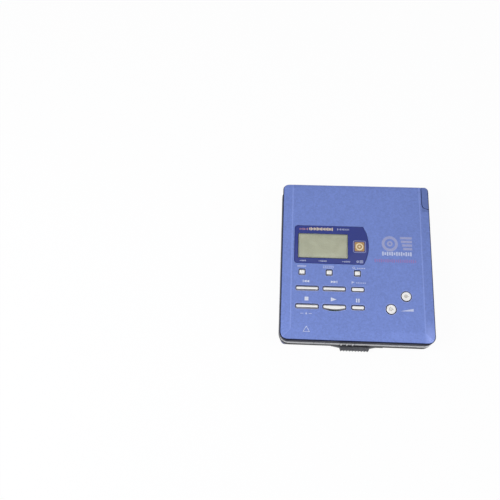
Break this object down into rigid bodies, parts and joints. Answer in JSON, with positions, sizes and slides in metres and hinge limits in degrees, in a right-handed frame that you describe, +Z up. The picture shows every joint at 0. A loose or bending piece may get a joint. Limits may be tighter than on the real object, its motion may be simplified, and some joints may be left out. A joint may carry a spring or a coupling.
{
  "type": "portable minidisc player",
  "caption": "Pocket disc recorder with a hinged keypad lid that lifts a tilting disc holder, a disc drive in the base, side sockets and a corner battery door.",
  "frame": {"origin": "middle of the case at the bottom face", "axes": "+X to the right of the keypad, +Y towards the hinge, +Z up from the table"},
  "size_m": [0.0794, 0.0877, 0.0195],
  "materials": {
    "lid_blue": "fine metallic blue paint, satin",
    "frame_navy": "satin moulded plastic",
    "band_silver": "fine silver paint, satin",
    "base_blue": "fine metallic dark blue paint, satin",
    "slider_grey": "moulded plastic with ribs",
    "board_green": "solder mask",
    "chip_black": "moulded epoxy",
    "sheet_steel": "zinc-plated sheet",
    "rubber_black": "moulded rubber",
    "bright_steel": "ground steel",
    "motor_can": "drawn can",
    "flex_amber": "polyimide film",
    "tray_plastic": "moulded plastic",
    "battery_wrap": "printed film, plain",
    "contact_gold": "plated spring brass",
    "jack_black": "moulded plastic",
    "screw_steel": "nickel-plated",
    "window_indigo": "printed acrylic, glossy",
    "clear_glass": "clear acrylic",
    "display_panel": "liquid crystal cell, grey-green",
    "liner_grey": "moulded plastic",
    "sled_grey": "glass-filled plastic",
    "lens_glass": "coated lens",
    "pad_felt": "slider pad",
    "screw_brass": "rolled thread",
    "table_metal": "turned",
    "key_silver": "silver-white lacquer",
    "switch_silver": "silver lacquer",
    "record_red": "red lacquer"
  },
  "bodies": {
    "base": {"bottom_cover": "base_blue", "side_frame": "band_silver", "slider_track": "jack_black", "main_board": "board_green", "board_chips": "chip_black", "chassis_plate": "sheet_steel", "rubber_dampers": "rubber_black", "guide_rods": "bright_steel", "screw_bearings": "sled_grey", "sled_motor": "motor_can", "motor_flex": "flex_amber", "spindle_motor": "motor_can", "battery_compartment": "tray_plastic", "battery_cell": "battery_wrap", "battery_contacts": "contact_gold", "holder_pins": "bright_steel", "hinge_pin": "bright_steel", "battery_door_pin": "bright_steel", "headphone_jack": "jack_black", "line_in_jack": "jack_black", "mic_jack": "jack_black", "dc_in_jack": "jack_black", "bottom_screws": "screw_steel"},
    "lid": {"lid_cover": "lid_blue", "lid_frame": "frame_navy", "display_window": "window_indigo", "display_glass": "clear_glass", "display_module": "display_panel", "button_board": "board_green", "button_domes": "contact_gold", "lid_liner": "liner_grey", "lid_screws": "screw_steel"},
    "holder": {"disc_holder": "sheet_steel", "holder_springs": "bright_steel"},
    "sled": {"pickup_sled": "sled_grey", "pickup_lens": "lens_glass"},
    "head": {"head_arm": "bright_steel", "head_pad": "pad_felt"},
    "screw": {"lead_screw": "screw_brass"},
    "spindle": {"turntable": "table_metal"},
    "door": {"battery_door": "lid_blue"},
    "opener": {"open_slider": "slider_grey", "lid_latch": "sheet_steel"},
    "hold": {"hold_switch": "switch_silver"},
    "record": {"record_switch": "record_red"},
    "mode_key": {"mode_button": "key_silver"},
    "display_key": {"display_button": "key_silver"},
    "search_key": {"search_button": "key_silver"},
    "previous_key": {"previous_button": "key_silver"},
    "next_key": {"next_button": "key_silver"},
    "mark_key": {"mark_button": "key_silver"},
    "stop_key": {"stop_button": "key_silver"},
    "play_key": {"play_button": "key_silver"},
    "pause_key": {"pause_button": "key_silver"},
    "volume_up_key": {"volume_up_button": "key_silver"},
    "volume_down_key": {"volume_down_button": "key_silver"}
  },
  "joints": [
    {"name": "lid_hinge", "type": "hinge", "parent": "base", "child": "lid", "pos_m": [0, 0.0412, 0.012], "axis": [-1, 0, 0], "range_deg": [0, 35]},
    {"name": "holder_tilt", "type": "hinge", "parent": "base", "child": "holder", "pos_m": [0, 0.02915, 0.0134], "axis": [-1, 0, 0], "range_deg": [0, 28]},
    {"name": "pickup_slide", "type": "slide", "parent": "base", "child": "sled", "axis": [1, 0, 0], "range_m": [0, 0.016]},
    {"name": "head_lift", "type": "hinge", "parent": "sled", "child": "head", "pos_m": [0.0131, 0.02915, 0.0142], "axis": [-1, 0, 0], "range_deg": [0, 30.8]},
    {"name": "screw_spin", "type": "hinge", "parent": "base", "child": "screw", "pos_m": [0.02, 0.0108, 0.006], "axis": [1, 0, 0], "range_deg": [0, 2880.5]},
    {"name": "spindle_spin", "type": "hinge", "parent": "base", "child": "spindle", "pos_m": [0, -0.0062, 0.008], "axis": [0, 0, 1], "continuous": true},
    {"name": "battery_door_hinge", "type": "hinge", "parent": "base", "child": "door", "pos_m": [0.0374, 0.035, 0.0018], "axis": [0, 1, 0], "range_deg": [0, 88]},
    {"name": "open_slide", "type": "slide", "parent": "base", "child": "opener", "axis": [1, 0, 0], "range_m": [0, 0.003], "stiffness_N_per_m": 100},
    {"name": "hold_slide", "type": "slide", "parent": "base", "child": "hold", "axis": [0, 1, 0], "range_m": [0, 0.0025]},
    {"name": "record_slide", "type": "slide", "parent": "base", "child": "record", "axis": [0, 1, 0], "range_m": [0, 0.0025], "stiffness_N_per_m": 100},
    {"name": "mode_press", "type": "slide", "parent": "lid", "child": "mode_key", "axis": [0, 0, -1], "range_m": [0, 0.0004], "stiffness_N_per_m": 400},
    {"name": "display_press", "type": "slide", "parent": "lid", "child": "display_key", "axis": [0, 0, -1], "range_m": [0, 0.0004], "stiffness_N_per_m": 400},
    {"name": "search_press", "type": "slide", "parent": "lid", "child": "search_key", "axis": [0, 0, -1], "range_m": [0, 0.0004], "stiffness_N_per_m": 400},
    {"name": "previous_press", "type": "slide", "parent": "lid", "child": "previous_key", "axis": [0, 0, -1], "range_m": [0, 0.0004], "stiffness_N_per_m": 400},
    {"name": "next_press", "type": "slide", "parent": "lid", "child": "next_key", "axis": [0, 0, -1], "range_m": [0, 0.0004], "stiffness_N_per_m": 400},
    {"name": "mark_press", "type": "slide", "parent": "lid", "child": "mark_key", "axis": [0, 0, -1], "range_m": [0, 0.0004], "stiffness_N_per_m": 400},
    {"name": "stop_press", "type": "slide", "parent": "lid", "child": "stop_key", "axis": [0, 0, -1], "range_m": [0, 0.0004], "stiffness_N_per_m": 400},
    {"name": "play_press", "type": "slide", "parent": "lid", "child": "play_key", "axis": [0, 0, -1], "range_m": [0, 0.0004], "stiffness_N_per_m": 400},
    {"name": "pause_press", "type": "slide", "parent": "lid", "child": "pause_key", "axis": [0, 0, -1], "range_m": [0, 0.0004], "stiffness_N_per_m": 400},
    {"name": "volume_up_press", "type": "slide", "parent": "lid", "child": "volume_up_key", "axis": [0, 0, -1], "range_m": [0, 0.0004], "stiffness_N_per_m": 400},
    {"name": "volume_down_press", "type": "slide", "parent": "lid", "child": "volume_down_key", "axis": [0, 0, -1], "range_m": [0, 0.0004], "stiffness_N_per_m": 400}
  ],
  "couplings": [
    {"joint": "holder_tilt", "follows": "lid_hinge", "ratio": 0.8},
    {"joint": "head_lift", "follows": "lid_hinge", "ratio": 0.88},
    {"joint": "screw_spin", "follows": "pickup_slide", "rad_per_m": 3141.6}
  ]
}
